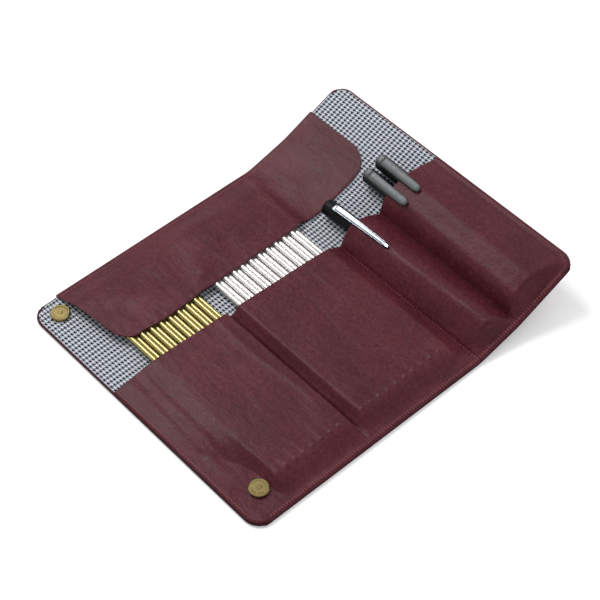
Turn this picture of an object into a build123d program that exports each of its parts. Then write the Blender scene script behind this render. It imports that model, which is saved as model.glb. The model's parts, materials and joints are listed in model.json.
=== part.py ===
"""Leather tri-fold case with interchangeable knitting needle tips and three pens.

Frame: origin at the centre of the middle panel's underside, +X along the open case towards the
pens, +Y from the pocket's bottom edge to the flap, +Z up. Millimetres.
Each panel has its own plane on top of its lining, with x measured from the fold on its left
(from fold A for the left panel, where it is negative), and z as the height above the lining.
"""
import os
from math import cos, radians, sin, tan

from build123d import *

os.makedirs("parts", exist_ok=True)

# Case
case_height = 230.0
left_width = 97.0
middle_width = 97.0
spine_width = 36.4
right_width = 55.6
corner_radius = 12.0
cover_thickness = 1.8
lining_thickness = 1.2
lining_inset = 1.0
fold_gap = 0.3
spine_tilt = 15.0
right_bend = 9.0
clearance = 0.3

# Pocket
pocket_leather = 1.0
mouth_left = 139.5
mouth_middle = 136.5
mouth_spine = 133.5
mouth_right = 131.5
hem_share = 0.6
hump_shoulder = 2.0

# Flap
flap_leather = 1.2
flap_length = 66.0
flap_side_root = 75.2
flap_side_free = 67.5
flap_corner = 16.0
flap_slope = 24.4
flap_spine_length = 63.0
flap_right_width = 27.0

# Needle tips
tip_length = 168.0
tip_taper = 14.0
tip_point_radius = 0.35
tip_base_y = 20.5
tip_stagger = 1.6
socket_radius = 1.05
socket_depth = 9.0
key_hole_radius = 0.4
key_hole_from_end = 11.5
gold_diameter = 3.7
gold_pitch = 3.73
gold_pairs = 8
gold_centre = 33.6
silver_diameter = 3.8
silver_pitch = 3.8
silver_pairs = 10
silver_centre = 46.5

# Snap discs and catch plates
disc_radius = 6.8
disc_height = 2.6
disc_upper_x = 81.8
disc_upper_from_top = 14.0
disc_lower_x = 76.3
disc_lower_from_bottom = 21.9
plate_flange = 1.2
plate_post_radius = 5.2
disc_rim = 0.8
disc_dish = 0.5
disc_nub_radius = 1.8

# Chrome-clip pen
pen_radius = 5.85
pen_x = 15.6
pen_lean = -2.0
pen_top = 162.5
pen_bottom = 11.2
pen_cap_length = 62.0
pen_cap_wall = 0.9
pen_clip_length = 52.0
pen_clip_width = 5.2
pen_clip_thickness = 1.6
pen_clip_from_top = 10.0

# Capped black pens
marker_radius = 5.6
marker_first_x = 14.8
marker_spacing = 13.0
marker_lean = 1.2
marker_top = 157.6
marker_bottom = 11.2
marker_cap_length = 55.0
marker_cap_wall = 0.9
marker_clip_length = 37.5
marker_clip_width = 6.6
marker_clip_tip_width = 4.6
marker_clip_thickness = 1.8
marker_clip_from_top = 6.0
barrel_slack = 0.15
nib_radius = 1.0

# Derived places
top_y = case_height / 2
bottom_y = -case_height / 2
lining_top = cover_thickness + lining_thickness
fold_a_x = -middle_width / 2
fold_b_x = middle_width / 2
needle_top = clearance + tip_stagger + max(gold_diameter, silver_diameter)
hump_height = needle_top + clearance
hem_height = 1.5 * pocket_leather
needle_stack = hump_height + max(pocket_leather, flap_leather)
pen_lift = 2 * clearance + flap_leather
pen_axis_height = pen_lift + pen_radius
marker_axis_height = pen_lift + marker_radius
pen_clip_under = pen_axis_height + pen_radius + pocket_leather + 2 * clearance
marker_clip_under = marker_axis_height + marker_radius + pocket_leather + 2 * clearance
flap_hinge_y = top_y - flap_leather / 2
flap_free_y = flap_hinge_y - flap_length

# Planes of the four panels, on top of the lining at each panel's fold
tilt = radians(spine_tilt)
steep = radians(spine_tilt + right_bend)
left_panel = Plane(origin=(fold_a_x, 0, lining_top), x_dir=(1, 0, 0), z_dir=(0, 0, 1))
middle_panel = Plane(origin=(fold_a_x, 0, lining_top), x_dir=(1, 0, 0), z_dir=(0, 0, 1))
spine_panel = Plane(
    origin=(fold_b_x, 0, lining_top), x_dir=(cos(tilt), 0, sin(tilt)), z_dir=(-sin(tilt), 0, cos(tilt))
)
right_panel = Plane(
    origin=spine_panel.from_local_coords((spine_width, 0, 0)),
    x_dir=(cos(steep), 0, sin(steep)),
    z_dir=(-sin(steep), 0, cos(steep)),
)



def leaned(panel, x, y, lean):
    """A panel's plane turned about a point on it, with x from that point and y still along the panel."""
    turn = radians(lean)
    along = panel.y_dir * cos(turn) + panel.x_dir * sin(turn)
    across = panel.x_dir * cos(turn) - panel.y_dir * sin(turn)
    pivot = panel.from_local_coords((x, y, 0))
    return Plane(origin=pivot - along * y, x_dir=across, z_dir=panel.z_dir)


# The pens lean a little in their pockets, about their places at the mouth
pen_plane = leaned(spine_panel, pen_x, bottom_y + mouth_spine, pen_lean)
marker_axes = [marker_first_x, marker_first_x + marker_spacing]
marker_planes = [leaned(right_panel, x, bottom_y + mouth_right, marker_lean) for x in marker_axes]

# Gaps between the closed panels, so that they clear what they hold
closing_clearance = 2 * clearance
pen_stack = max(pen_clip_under + pen_clip_thickness, marker_clip_under + marker_clip_thickness)
right_closed_gap = needle_stack + pen_stack + closing_clearance
right_axis_height = right_closed_gap / (1 + cos(tilt))
closed_shift = right_axis_height * sin(tilt)
back_gap = needle_stack + closing_clearance


def section_plane(panel, y):
    """The plane across a panel at y, with x along the panel and y upwards. It faces the pocket's end."""
    return Plane(origin=panel.from_local_coords((0, y, 0)), x_dir=panel.x_dir, z_dir=-panel.y_dir)


def side_plane(panel, x):
    """The plane along a panel at x, with x along the panel's y and y upwards."""
    return Plane(origin=panel.from_local_coords((x, 0, 0)), x_dir=panel.y_dir, z_dir=panel.x_dir)


def length_plane(panel, x, y, height):
    """A plane for revolving about a line along a panel's y through a point over it."""
    return Plane(origin=panel.from_local_coords((x, y, height)), x_dir=panel.y_dir, z_dir=panel.x_dir)


def outline(x_low, x_high, y_low, y_high, round_side=None, radius=0.0, both_ends=True):
    """A panel's rectangle, with the corners of one side rounded."""
    with Locations(((x_low + x_high) / 2, (y_low + y_high) / 2)):
        Rectangle(x_high - x_low, y_high - y_low)
    if round_side is not None:
        corners = vertices().group_by(Axis.X)[round_side]
        if not both_ends:
            corners = corners.sort_by(Axis.Y)[:1]
        fillet(corners, radius)


def plate(panel, level, thickness, x_low, x_high, inset, round_side):
    """A flat sheet on a panel, between two levels, with a rounded free side."""
    with BuildPart() as sheet:
        with BuildSketch(panel.offset(level)):
            outline(x_low, x_high, bottom_y + inset, top_y - inset, round_side, corner_radius - inset)
        extrude(amount=thickness)
    return sheet.part


def save(part, name):
    """Label a finished piece and write its file."""
    part.label = name
    export_step(part, f"parts/{name}.step")


# Outer leather, one sheet per panel
half_gap = fold_gap / 2
cover_spans = {
    "left": (left_panel, -left_width, -half_gap, 0),
    "middle": (middle_panel, half_gap, middle_width - half_gap, None),
    "spine": (spine_panel, half_gap, spine_width - half_gap, None),
    "right": (right_panel, half_gap, right_width, -1),
}
for place, (panel, x_low, x_high, round_side) in cover_spans.items():
    cover = plate(panel, -lining_top, cover_thickness, x_low, x_high, 0.0, round_side)
    save(cover, f"cover_{place}")

# Lining, set back from the free edges
lining_spans = {
    "left": (left_panel, -left_width + lining_inset, -half_gap, 0),
    "middle": (middle_panel, half_gap, middle_width - half_gap, None),
    "spine": (spine_panel, half_gap, spine_width - half_gap, None),
    "right": (right_panel, half_gap, right_width - lining_inset, -1),
}
for place, (panel, x_low, x_high, round_side) in lining_spans.items():
    lining = plate(panel, -lining_thickness, lining_thickness, x_low, x_high, lining_inset, round_side)
    save(lining, f"lining_{place}")


def hump(low, high, height, radius):
    """The outline of a hump that stands on the lining, with two rounded shoulders."""
    with Locations(((low + high) / 2, height / 2)):
        Rectangle(high - low, height)
    fillet(vertices().group_by(Axis.Y)[-1], radius)


def pocket(panel, x_low, x_high, round_side, mouth, inner_end, raised, tunnels, lean=0.0):
    """A stitched leather pocket: a flat sheet, one raised hump that falls to the hem, and the room inside.

    raised is (low, high, height, shoulder radius) of the hump's outside at the mouth, and tunnels are
    the same for each hollow under it. lean is the angle of what lies in them.
    """
    slope = tan(radians(lean))
    along = panel.y_dir + panel.x_dir * slope
    mouth_y = bottom_y + mouth
    end_y = bottom_y + inner_end - clearance
    low, high, height, radius = raised
    end_shift = (end_y - mouth_y) * slope
    hem_y = end_y - pocket_leather - hem_run(inner_end)
    hem_shift = (hem_y - mouth_y) * slope
    mouth_room = clearance * slope
    with BuildPart() as sheet:
        with BuildSketch(panel):
            outline(
                x_low, x_high, bottom_y + lining_inset, mouth_y, round_side, corner_radius - lining_inset, False
            )
        extrude(amount=pocket_leather)
        with BuildSketch(section_plane(panel, mouth_y)):
            hump(low, high, height, radius)
        extrude(amount=(mouth_y - end_y) * along.length, dir=-along)
        with BuildSketch(section_plane(panel, end_y)):
            hump(low + end_shift, high + end_shift, height, radius)
        with BuildSketch(section_plane(panel, hem_y)):
            hem_low = low + pocket_leather + hem_shift
            hem_high = high - pocket_leather + hem_shift
            hump(hem_low, hem_high, hem_height, pocket_leather / 2)
        loft()
        for hollow_low, hollow_high, hollow_height, hollow_radius in tunnels:
            with BuildSketch(section_plane(panel, mouth_y + clearance)):
                hump(hollow_low + mouth_room, hollow_high + mouth_room, hollow_height, hollow_radius)
            extrude(
                amount=(mouth_y + clearance - end_y) * along.length, dir=-along, mode=Mode.SUBTRACT
            )
    return sheet.part


def hem_run(inner_end):
    """How far the hump runs down towards the hem, past what it holds."""
    return (inner_end - lining_inset) * hem_share


def needle_room(low, high):
    """The outside and the inside of the hump over a row of needles."""
    wall = pocket_leather
    outside = (low - wall, high + wall, hump_height + wall, hump_shoulder)
    inside = (low, high, hump_height, hump_shoulder - wall)
    return outside, [inside]


def pen_room(axes, radius, axis_height):
    """The outside and the inside of the hump over one or two pens."""
    inner = radius + clearance
    outer = inner + pocket_leather
    outside = (axes[0] - outer, axes[-1] + outer, axis_height + outer, outer - clearance)
    inside = [(x - inner, x + inner, axis_height + inner, inner - clearance) for x in axes]
    return outside, inside


gold_half = (2 * gold_pairs - 1) * gold_pitch / 2 + gold_diameter / 2 + clearance
silver_half = (2 * silver_pairs - 1) * silver_pitch / 2 + silver_diameter / 2 + clearance

outside, inside = needle_room(-gold_centre - gold_half, -gold_centre + gold_half)
pocket_left = pocket(
    left_panel, -left_width + lining_inset, -half_gap, 0, mouth_left, tip_base_y, outside, inside
)
save(pocket_left, "pocket_left")

outside, inside = needle_room(silver_centre - silver_half, silver_centre + silver_half)
pocket_middle = pocket(
    middle_panel, half_gap, middle_width - half_gap, None, mouth_middle, tip_base_y, outside, inside
)
save(pocket_middle, "pocket_middle")

outside, inside = pen_room([pen_x], pen_radius, pen_axis_height)
pocket_spine = pocket(
    spine_panel, half_gap, spine_width - half_gap, None, mouth_spine, pen_bottom, outside, inside, pen_lean
)
save(pocket_spine, "pocket_spine")

outside, inside = pen_room(marker_axes, marker_radius, marker_axis_height)
pocket_right = pocket(
    right_panel,
    half_gap,
    right_width - lining_inset,
    -1,
    mouth_right,
    marker_bottom,
    outside,
    inside,
    marker_lean,
)
save(pocket_right, "pocket_right")


def flap(panel, under, length, root, free, low_corner=0.0, high_corner=0.0):
    """One panel's share of the flap. root and free are its two x limits at the hinge and at its edge."""
    free_y = flap_hinge_y - length
    x_low = min(root[0], free[0])
    x_high = max(root[1], free[1])
    root_y = flap_hinge_y + flap_leather
    slope_y = flap_hinge_y - flap_slope
    hem_top = clearance + flap_leather
    with BuildPart() as sheet:
        # Section along Y: a rounded hem at the hinge, a slope and a flat stretch
        with BuildSketch(side_plane(panel, x_low)):
            with BuildLine():
                Polyline(
                    (flap_hinge_y, clearance),
                    (slope_y, under),
                    (free_y, under),
                    (free_y, under + flap_leather),
                    (slope_y, under + flap_leather),
                    (flap_hinge_y, hem_top),
                )
                ThreePointArc(
                    (flap_hinge_y, hem_top),
                    (flap_hinge_y + flap_leather / 2, clearance + flap_leather / 2),
                    (flap_hinge_y, clearance),
                )
            make_face()
        extrude(amount=x_high - x_low)
        with BuildSketch(panel):
            with BuildLine():
                Polyline(
                    (root[0], root_y), (root[1], root_y), (free[1], free_y), (free[0], free_y), close=True
                )
            make_face()
            low_edge, high_edge = vertices().group_by(Axis.Y)[0].sort_by(Axis.X)
            if low_corner > 0:
                fillet(low_edge, low_corner)
            if high_corner > 0:
                fillet(high_edge, high_corner)
        extrude(amount=under + 2 * flap_leather, mode=Mode.INTERSECT)
    return sheet.part


# The flap's sides lean away from the tilted folds, so that its four shares lift together freely
side_b = (flap_length + flap_leather) * tan(tilt / 2)
side_c = (flap_spine_length + flap_leather) * tan(radians(right_bend) / 2)
spine_side_b = (flap_spine_length + flap_leather) * tan(tilt / 2)
edge = fold_gap + half_gap

flap_left = flap(
    left_panel,
    hump_height,
    flap_length,
    (-flap_side_root, -half_gap),
    (-flap_side_free, -half_gap),
    low_corner=flap_corner,
)
save(flap_left, "flap_left")

flap_middle = flap(
    middle_panel,
    hump_height,
    flap_length,
    (half_gap, middle_width - edge),
    (half_gap, middle_width - edge - side_b),
)
save(flap_middle, "flap_middle")

flap_spine = flap(
    spine_panel,
    clearance,
    flap_spine_length,
    (edge, spine_width - edge),
    (edge + spine_side_b, spine_width - edge - side_c),
)
save(flap_spine, "flap_spine")

flap_right = flap(
    right_panel,
    clearance,
    flap_spine_length,
    (edge, flap_right_width),
    (edge + side_c, flap_right_width),
    high_corner=flap_right_width - edge - side_c - clearance,
)
save(flap_right, "flap_right")


def needle_tip(panel, x, height, radius):
    """A tip: socket and key hole at the base, a plain shaft and a tapered point with a round end."""
    plane = length_plane(panel, x, bottom_y + tip_base_y, height)
    taper_start = tip_length - tip_taper
    base_bevel = radius / 5
    with BuildPart() as tip:
        with BuildSketch(plane):
            with BuildLine():
                Polyline(
                    (0, 0),
                    (0, radius - base_bevel),
                    (base_bevel, radius),
                    (taper_start, radius),
                )
                TangentArc(
                    (taper_start, radius),
                    (tip_length - tip_point_radius, tip_point_radius),
                    tangent=(1, 0),
                )
                ThreePointArc(
                    (tip_length - tip_point_radius, tip_point_radius),
                    (tip_length - tip_point_radius * (1 - cos(radians(45))), tip_point_radius * sin(radians(45))),
                    (tip_length, 0),
                )
                Line((tip_length, 0), (0, 0))
            make_face()
        revolve(axis=Axis(plane.origin, plane.x_dir))
        with BuildSketch(Plane(origin=plane.origin, x_dir=panel.x_dir, z_dir=(0, 1, 0))):
            Circle(socket_radius)
        extrude(amount=socket_depth, mode=Mode.SUBTRACT)
        with BuildSketch(Plane(origin=plane.origin, x_dir=(0, 1, 0), z_dir=panel.z_dir)):
            with Locations((key_hole_from_end, 0)):
                Circle(key_hole_radius)
        extrude(amount=radius, both=True, mode=Mode.SUBTRACT)
    return tip.part


def tip_pair(panel, centre, pitch, diameter, pairs, index):
    """The two tips of one size: one rests on the lining and the other is nested beside it."""
    first = centre - (2 * pairs - 1) * pitch / 2 + 2 * index * pitch
    low = clearance + diameter / 2
    lower = needle_tip(panel, first + pitch, low, diameter / 2)
    upper = needle_tip(panel, first, low + tip_stagger, diameter / 2)
    return Compound(children=[lower, upper])


for index in range(gold_pairs):
    pair = tip_pair(left_panel, -gold_centre, gold_pitch, gold_diameter, gold_pairs, index)
    save(pair, f"gold_tip_pair_{index + 1}")

for index in range(silver_pairs):
    pair = tip_pair(middle_panel, silver_centre, silver_pitch, silver_diameter, silver_pairs, index)
    save(pair, f"silver_tip_pair_{index + 1}")


def snap_disc(x, y, level):
    """A round snap half with a raised rim, a dished face and a small nub in the middle."""
    plane = Plane(origin=left_panel.from_local_coords((x, y, level)), x_dir=(1, 0, 0), z_dir=(0, -1, 0))
    dish = disc_height - disc_dish
    with BuildPart() as disc:
        with BuildSketch(plane):
            with BuildLine():
                Polyline(
                    (0, 0),
                    (disc_radius, 0),
                    (disc_radius, disc_height - disc_rim),
                    (disc_radius - disc_rim, disc_height),
                    (disc_radius - 2 * disc_rim, disc_height),
                    (disc_radius - 3 * disc_rim, dish),
                    (disc_nub_radius, dish),
                    (disc_nub_radius - disc_dish, disc_height),
                    (0, disc_height),
                    close=True,
                )
            make_face()
        revolve(axis=Axis(plane.origin, (0, 0, 1)))
    return disc.part


upper_y = top_y - disc_upper_from_top
lower_y = bottom_y + disc_lower_from_bottom
save(snap_disc(-disc_upper_x, upper_y, 0.0), "snap_disc_upper")
save(snap_disc(-disc_lower_x, lower_y, pocket_leather), "snap_disc_lower")


def catch_plate(x, y, height):
    """The mating half on the back of the spine panel: a flange and a post that meets the disc."""
    plane = Plane(
        origin=spine_panel.from_local_coords((x, y, -lining_top)),
        x_dir=spine_panel.x_dir,
        z_dir=-spine_panel.z_dir,
    )
    with BuildPart() as catch:
        with BuildSketch(plane):
            Circle(disc_radius)
        extrude(amount=plate_flange)
        with BuildSketch(plane):
            Circle(plate_post_radius)
        extrude(amount=height)
        chamfer(catch.faces().sort_by(Axis(plane.origin, plane.z_dir))[-1].edges(), disc_rim / 2)
    return catch.part


catch_reach = back_gap - disc_height - clearance
upper_catch_x = middle_width + closed_shift - disc_upper_x
lower_catch_x = middle_width + closed_shift - disc_lower_x
save(catch_plate(upper_catch_x, upper_y, catch_reach), "catch_plate_upper")
save(catch_plate(lower_catch_x, lower_y, catch_reach - pocket_leather), "catch_plate_lower")


def cap(panel, top, length, radius, wall, axis_height):
    """A pen cap: a domed closed end and a bore for the barrel."""
    plane = length_plane(panel, 0, bottom_y + top - length, axis_height)
    dome = radius / 3
    bore = length - dome - 2 * wall
    with BuildPart() as shell:
        with BuildSketch(plane):
            with BuildLine():
                Polyline(
                    (bore, 0),
                    (bore, radius - wall),
                    (0, radius - wall),
                    (0, radius),
                    (length - dome, radius),
                )
                ThreePointArc(
                    (length - dome, radius),
                    (length - dome * (1 - sin(radians(45))), radius * (1 - (1 - cos(radians(45))) * 0.8)),
                    (length, radius / 2),
                )
                Polyline((length, radius / 2), (length, 0), (bore, 0))
            make_face()
        revolve(axis=Axis(plane.origin, plane.x_dir))
    return shell.part


def barrel(panel, bottom, top, cap_length, cap_radius, wall, axis_height):
    """A pen's barrel, from its blunt end to the cone that carries the point."""
    plane = length_plane(panel, 0, bottom_y + bottom, axis_height)
    end = top - cap_length - bottom - clearance
    front_radius = cap_radius - wall - barrel_slack
    radius = front_radius + wall / 2
    bevel = radius / 6
    front_end = end + cap_length / 3
    cone_end = front_end + cap_length / 4
    with BuildPart() as body:
        with BuildSketch(plane):
            with BuildLine():
                Polyline(
                    (0, 0),
                    (0, radius - bevel),
                    (bevel, radius),
                    (end, radius),
                    (end, front_radius),
                    (front_end, front_radius),
                    (cone_end, 2 * nib_radius),
                    (cone_end, 0),
                    close=True,
                )
            make_face()
        revolve(axis=Axis(plane.origin, plane.x_dir))
    return body.part


def nib(panel, top, cap_length, axis_height):
    """The writing point that stands out of the barrel's cone."""
    start = top - cap_length - clearance + cap_length / 3 + cap_length / 4
    plane = length_plane(panel, 0, bottom_y + start, axis_height)
    length = cap_length / 10
    with BuildPart() as point:
        with BuildSketch(plane):
            with BuildLine():
                Polyline(
                    (0, 0),
                    (0, nib_radius),
                    (length / 2, nib_radius),
                    (length, nib_radius / 2),
                    (length, 0),
                    close=True,
                )
            make_face()
        revolve(axis=Axis(plane.origin, plane.x_dir))
    return point.part


# Chrome-clip pen
save(cap(pen_plane, pen_top, pen_cap_length, pen_radius, pen_cap_wall, pen_axis_height), "pen_cap")
pen_barrel = barrel(
    pen_plane, pen_bottom, pen_top, pen_cap_length, pen_radius, pen_cap_wall, pen_axis_height
)
save(pen_barrel, "pen_barrel")
save(nib(pen_plane, pen_top, pen_cap_length, pen_axis_height), "pen_nib")

clip_start = bottom_y + pen_top - pen_clip_from_top
clip_end = clip_start - pen_clip_length
cap_crown = pen_axis_height + pen_radius
saddle_width = 2 * pen_clip_thickness
with BuildPart() as pen_clip:
    # The saddle that wraps the upper part of the cap
    with BuildSketch(section_plane(pen_plane, clip_start)):
        with Locations((0, pen_axis_height)):
            Circle(pen_radius + pen_clip_thickness / 2)
            Circle(pen_radius, mode=Mode.SUBTRACT)
        with Locations((0, pen_axis_height + pen_radius)):
            Rectangle(4 * pen_radius, 1.5 * pen_radius, mode=Mode.INTERSECT)
    extrude(amount=saddle_width)
    # The bar, clear of the leather, with its end turned down a little
    with BuildSketch(side_plane(pen_plane, -pen_clip_width / 2)):
        with BuildLine():
            Polyline(
                (clip_start, cap_crown + clearance / 10),
                (clip_start, pen_clip_under + pen_clip_thickness / 2),
                (clip_start - saddle_width / 2, pen_clip_under + pen_clip_thickness),
                (clip_end + saddle_width, pen_clip_under + pen_clip_thickness),
                (clip_end, pen_clip_under + pen_clip_thickness / 2),
                (clip_end, pen_clip_under),
                (clip_start - 2 * saddle_width, pen_clip_under),
                (clip_start - saddle_width, cap_crown + clearance / 10),
                close=True,
            )
        make_face()
    extrude(amount=pen_clip_width)
    clip_top = pen_clip.faces().sort_by(Axis(pen_plane.origin, pen_plane.z_dir))[-1]
    chamfer(clip_top.edges(), pen_clip_thickness / 4)
save(pen_clip.part, "pen_clip")


def marker_clip(panel):
    """A broad clip moulded on the cap's end: a root block, then a bar that narrows to a round end."""
    start = bottom_y + marker_top - marker_clip_from_top
    end = start - marker_clip_length
    root_half = marker_clip_width / 2
    tip_half = marker_clip_tip_width / 2
    seat = marker_axis_height + (marker_radius**2 - root_half**2) ** 0.5
    with BuildPart() as clip:
        with BuildSketch(panel.offset(marker_clip_under)):
            with BuildLine():
                Polyline(
                    (-tip_half, end + tip_half),
                    (-root_half, start),
                    (root_half, start),
                    (tip_half, end + tip_half),
                )
                ThreePointArc((tip_half, end + tip_half), (0, end), (-tip_half, end + tip_half))
            make_face()
        extrude(amount=marker_clip_thickness)
        with BuildSketch(panel.offset(seat)):
            with Locations((0, start + marker_clip_thickness / 2)):
                Rectangle(marker_clip_width, 2 * marker_clip_thickness)
        extrude(amount=marker_clip_under + marker_clip_thickness - seat)
        with BuildSketch(section_plane(panel, start + 2 * marker_clip_from_top)):
            with Locations((0, marker_axis_height)):
                Circle(marker_radius)
        extrude(amount=3 * marker_clip_from_top, mode=Mode.SUBTRACT)
    return clip.part


for index, panel in enumerate(marker_planes):
    name = f"marker_{index + 1}"
    marker_cap = cap(
        panel, marker_top, marker_cap_length, marker_radius, marker_cap_wall, marker_axis_height
    )
    save(marker_cap, f"{name}_cap")
    save(marker_clip(panel), f"{name}_clip")
    marker_barrel = barrel(
        panel,
        marker_bottom,
        marker_top,
        marker_cap_length,
        marker_radius,
        marker_cap_wall,
        marker_axis_height,
    )
    save(marker_barrel, f"{name}_barrel")
    save(nib(panel, marker_top, marker_cap_length, marker_axis_height), f"{name}_nib")
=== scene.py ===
import json
import math

import bmesh
import bpy
from mathutils import Matrix, Vector, noise


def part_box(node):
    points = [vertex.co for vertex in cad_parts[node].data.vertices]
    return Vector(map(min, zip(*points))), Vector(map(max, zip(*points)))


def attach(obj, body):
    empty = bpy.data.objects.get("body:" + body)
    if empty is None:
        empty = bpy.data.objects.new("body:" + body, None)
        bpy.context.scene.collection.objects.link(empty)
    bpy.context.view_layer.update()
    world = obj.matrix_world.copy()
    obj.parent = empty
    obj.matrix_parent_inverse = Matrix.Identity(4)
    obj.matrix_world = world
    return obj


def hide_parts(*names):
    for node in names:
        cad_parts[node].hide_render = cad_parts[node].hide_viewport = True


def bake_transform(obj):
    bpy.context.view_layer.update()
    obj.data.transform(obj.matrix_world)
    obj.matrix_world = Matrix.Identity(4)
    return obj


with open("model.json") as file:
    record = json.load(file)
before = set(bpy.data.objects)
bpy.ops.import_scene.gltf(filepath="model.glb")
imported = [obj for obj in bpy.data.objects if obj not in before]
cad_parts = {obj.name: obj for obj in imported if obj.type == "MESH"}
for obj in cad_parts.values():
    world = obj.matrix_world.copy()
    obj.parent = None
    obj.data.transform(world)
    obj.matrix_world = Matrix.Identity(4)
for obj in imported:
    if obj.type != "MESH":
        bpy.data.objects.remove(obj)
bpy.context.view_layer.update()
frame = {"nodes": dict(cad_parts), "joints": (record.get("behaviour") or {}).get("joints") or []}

joints = {joint["name"]: joint for joint in frame["joints"]}

# The case, taken from the frame: x along it from fold A, y across it, h above its lining
caseForm = {
    "foldA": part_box("cover_middle")[0].x,
    "foldB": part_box("cover_middle")[1].x,
    "halfLength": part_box("cover_middle")[1].y,
    "liningTop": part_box("lining_middle")[1].z,
    "leftWidth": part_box("cover_left")[1].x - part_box("cover_left")[0].x,
    "cornerRadius": 0.012,
    "creaseReach": 0.006,  # half the width over which the leather turns at a fold
}
crease = joints["crease_right"]["pos_m"]
tiltSpine = math.atan2(crease[2] - caseForm["liningTop"], crease[0] - caseForm["foldB"])
tiltRight = math.atan2(joints["flap_right_lift"]["axis"][2], joints["flap_right_lift"]["axis"][0])
middleWidth = caseForm["foldB"] - caseForm["foldA"]
spineWidth = math.hypot(crease[0] - caseForm["foldB"], crease[2] - caseForm["liningTop"])
rightWidth = (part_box("cover_right")[1].x - crease[0]) / math.cos(tiltRight)
foldC = middleWidth + spineWidth
penEnd = foldC + rightWidth
snapEnd = -caseForm["leftWidth"]
bottomY = -caseForm["halfLength"]
topY = caseForm["halfLength"]


def smooth(low, high, value):
    share = min(max((value - low) / (high - low), 0.0), 1.0)
    return share * share * (3 - 2 * share)


def lerp(a, b, share):
    return a + (b - a) * share


def tiltAt(d):
    reach = caseForm["creaseReach"]
    first = smooth(middleWidth - reach, middleWidth + reach, d)
    second = smooth(foldC - reach, foldC + reach, d)
    return tiltSpine * first + (tiltRight - tiltSpine) * second


def followCase():
    # points of the lining's top line, half a millimetre apart, from fold A to the pen end
    step = 0.0005
    x, z = caseForm["foldA"], caseForm["liningTop"]
    line = [(x, z)]
    for count in range(int((penEnd + 0.01) / step)):
        angle = tiltAt((count + 0.5) * step)
        x += step * math.cos(angle)
        z += step * math.sin(angle)
        line.append((x, z))
    return line, step


caseLine, caseStep = followCase()


def onCase(d, y, h):
    # the point at distance d along the lining from fold A, at y, and h above the lining
    if d <= 0:
        return Vector((caseForm["foldA"] + d, y, caseForm["liningTop"] + h))
    place = min(d / caseStep, len(caseLine) - 1.001)
    index = int(place)
    share = place - index
    x = lerp(caseLine[index][0], caseLine[index + 1][0], share)
    z = lerp(caseLine[index][1], caseLine[index + 1][1], share)
    angle = tiltAt(d)
    return Vector((x - h * math.sin(angle), y, z + h * math.cos(angle)))


# ---- camera, light and floor

cameraForm = {
    "target": Vector((-0.00199, 0.00489, 0.0)),
    "azimuth": math.radians(-42.15),
    "elevation": math.radians(50.26),
    "distance": 1.2321,
    "lens": 109.78,
}


def makeCamera(form):
    a, e = form["azimuth"], form["elevation"]
    back = Vector((math.sin(a) * math.cos(e), -math.cos(a) * math.cos(e), math.sin(e)))
    data = bpy.data.cameras.new("camera")
    data.lens = form["lens"]
    data.sensor_width = 36
    data.clip_end = 20
    camera = bpy.data.objects.new("camera", data)
    camera.location = form["target"] + back * form["distance"]
    camera.rotation_euler = back.to_track_quat("Z", "Y").to_euler()
    bpy.context.collection.objects.link(camera)
    bpy.context.scene.camera = camera


makeCamera(cameraForm)
bpy.context.scene.view_settings.view_transform = "Standard"

lightForm = {
    "worldLevel": 0.60,
    "keyPower": 9.0,
    "keyPlace": (-0.02, 0.70, 1.15),
    "keySize": 0.5,
    "fillPower": 2.2,
    "fillPlace": (0.95, -0.1, 1.0),
    "fillSize": 0.9,
    "floorLift": 0.24,  # how much the camera sees the floor lit up
}


def areaLight(name, place, size, power):
    data = bpy.data.lights.new(name, "AREA")
    data.energy = power
    data.size = size
    lamp = bpy.data.objects.new(name, data)
    lamp.location = place
    lamp.rotation_euler = Vector(place).to_track_quat("Z", "Y").to_euler()
    bpy.context.collection.objects.link(lamp)


def makeWorld(level):
    world = bpy.data.worlds.new("studio")
    bpy.context.scene.world = world
    world.use_nodes = True
    nodes, links = world.node_tree.nodes, world.node_tree.links
    background = nodes["Background"]
    background.inputs["Color"].default_value = (1, 1, 1, 1)
    rays = nodes.new("ShaderNodeLightPath")
    seen = nodes.new("ShaderNodeMath")
    seen.operation = "MAXIMUM"
    links.new(rays.outputs["Is Camera Ray"], seen.inputs[0])
    links.new(rays.outputs["Is Glossy Ray"], seen.inputs[1])
    strength = nodes.new("ShaderNodeMapRange")
    strength.inputs["To Min"].default_value = level
    strength.inputs["To Max"].default_value = 1.0
    links.new(seen.outputs[0], strength.inputs["Value"])
    links.new(strength.outputs[0], background.inputs["Strength"])


makeWorld(lightForm["worldLevel"])
areaLight("keyLight", lightForm["keyPlace"], lightForm["keySize"], lightForm["keyPower"])
areaLight("fillLight", lightForm["fillPlace"], lightForm["fillSize"], lightForm["fillPower"])


def makeFloor():
    mesh = bpy.data.meshes.new("floor")
    form = bmesh.new()
    bmesh.ops.create_grid(form, x_segments=1, y_segments=1, size=6)
    form.to_mesh(mesh)
    form.free()
    floor = bpy.data.objects.new("floor", mesh)
    bpy.context.collection.objects.link(floor)
    material = bpy.data.materials.new("floorPaper")
    material.use_nodes = True
    shader = material.node_tree.nodes["Principled BSDF"]
    shader.inputs["Base Color"].default_value = (0.93, 0.93, 0.93, 1)
    shader.inputs["Roughness"].default_value = 0.9
    shader.inputs["Emission Color"].default_value = (1, 1, 1, 1)
    rays = material.node_tree.nodes.new("ShaderNodeLightPath")
    lift = material.node_tree.nodes.new("ShaderNodeMath")
    lift.operation = "MULTIPLY"
    lift.inputs[1].default_value = lightForm["floorLift"]
    material.node_tree.links.new(rays.outputs["Is Camera Ray"], lift.inputs[0])
    material.node_tree.links.new(lift.outputs[0], shader.inputs["Emission Strength"])
    mesh.materials.append(material)


makeFloor()
print("camera, light and floor")

# ---- materials


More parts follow.
